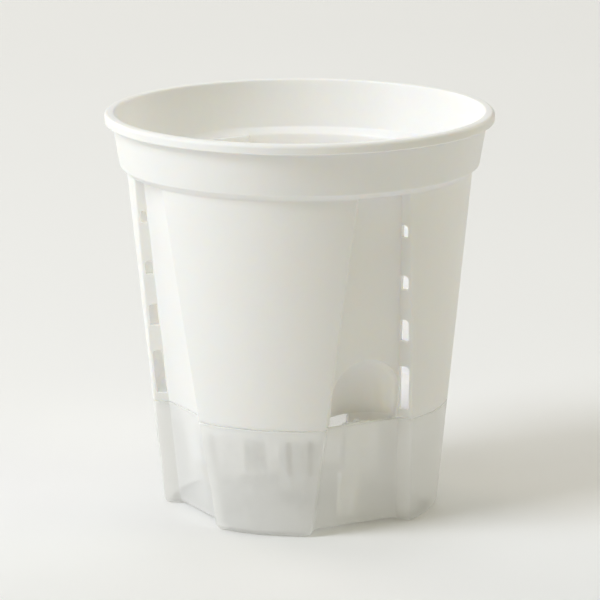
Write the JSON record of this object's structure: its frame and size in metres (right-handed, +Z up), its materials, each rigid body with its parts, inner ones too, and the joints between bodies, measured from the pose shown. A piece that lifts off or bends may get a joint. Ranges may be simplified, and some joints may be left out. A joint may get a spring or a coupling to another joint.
{
  "type": "self-watering plant pot",
  "caption": "Round tapered grow pot with a lipped rim, slotted recesses and an arched filling niche, standing in a translucent lobed water reservoir with a wicking basket.",
  "frame": {"origin": "centre of the base, on the surface that the pot stands on", "axes": "+Z up along the pot's axis, -Y towards the recess with the filling niche, +X to the right of it"},
  "size_m": [0.13, 0.13, 0.1348],
  "materials": {
    "frosted_plastic": "frosted translucent polypropylene",
    "white_plastic": "fine satin white polypropylene",
    "basket_plastic": "satin white polypropylene",
    "wick_fibre": "pressed fibre felt"
  },
  "bodies": {
    "reservoir": {"reservoir": "frosted_plastic"},
    "grow_pot": {"pot_rim": "white_plastic", "pot_wall_front_right": "white_plastic", "pot_floor_front_right": "white_plastic", "pot_spigot_front_right": "white_plastic", "pot_wall_back_right": "white_plastic", "pot_floor_back_right": "white_plastic", "pot_spigot_back_right": "white_plastic", "pot_wall_back_left": "white_plastic", "pot_floor_back_left": "white_plastic", "pot_spigot_back_left": "white_plastic", "pot_wall_front_left": "white_plastic", "pot_floor_front_left": "white_plastic", "pot_spigot_front_left": "white_plastic", "pot_leg_front": "white_plastic", "pot_leg_right": "white_plastic", "pot_leg_back": "white_plastic", "pot_leg_left": "white_plastic"},
    "basket": {"wick_basket": "basket_plastic"},
    "wick": {"wick": "wick_fibre"}
  },
  "joints": [
    {"name": "pot_lift", "type": "slide", "parent": "reservoir", "child": "grow_pot", "axis": [0, 0, 1], "range_m": [0, 0.045]},
    {"name": "basket_lift", "type": "slide", "parent": "grow_pot", "child": "basket", "axis": [0, 0, 1], "range_m": [0, 0.14]},
    {"name": "wick_pull", "type": "slide", "parent": "basket", "child": "wick", "axis": [0, 0, 1], "range_m": [0, 0.045]}
  ]
}
